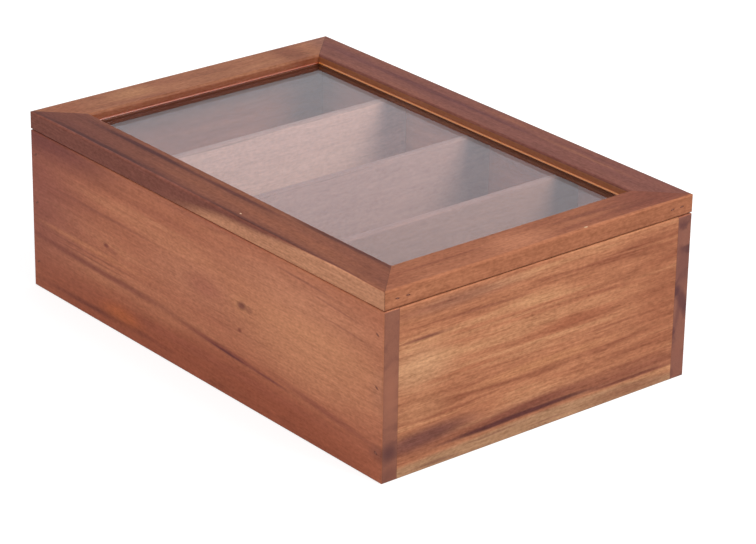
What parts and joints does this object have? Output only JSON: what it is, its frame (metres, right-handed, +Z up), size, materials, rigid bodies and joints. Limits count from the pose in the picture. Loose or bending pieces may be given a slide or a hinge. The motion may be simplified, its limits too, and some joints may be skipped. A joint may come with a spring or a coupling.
{
  "type": "tea bag box",
  "caption": "Wooden box for tea bags, with bays between cross dividers under a hinged lid that is a mitred frame round a clear pane.",
  "frame": {"origin": "middle of the box's underside, on the surface that it stands on", "axes": "+X along the long side to the right, +Y from the front to the hinged back, +Z up"},
  "size_m": [0.32, 0.2206, 0.1084],
  "materials": {
    "wall_wood": "satin varnished reddish-brown hardwood",
    "rail_wood": "satin varnished reddish-brown hardwood",
    "divider_wood": "pale sanded wood",
    "plywood": "plain sanded plywood",
    "pane": "clear",
    "brass": "satin",
    "steel": "dull wire"
  },
  "bodies": {
    "box": {"front_wall": "wall_wood", "back_wall": "wall_wood", "left_wall": "wall_wood", "right_wall": "wall_wood", "base_panel": "plywood", "divider_left": "divider_wood", "divider_middle": "divider_wood", "divider_right": "divider_wood", "wall_brads": "steel", "base_brads": "steel", "left_hinge_box_leaf": "brass", "left_hinge_pin": "brass", "right_hinge_box_leaf": "brass", "right_hinge_pin": "brass", "box_hinge_screws": "brass"},
    "lid": {"lid_front_rail": "rail_wood", "lid_back_rail": "rail_wood", "lid_left_rail": "rail_wood", "lid_right_rail": "rail_wood", "window_pane": "pane", "lid_brads": "steel", "left_hinge_lid_leaf": "brass", "right_hinge_lid_leaf": "brass", "lid_hinge_screws": "brass"}
  },
  "joints": [
    {"name": "lid_hinge", "type": "hinge", "parent": "box", "child": "lid", "pos_m": [0, 0.1103, 0.0974], "axis": [-1, 0, 0], "range_deg": [0, 100]}
  ]
}
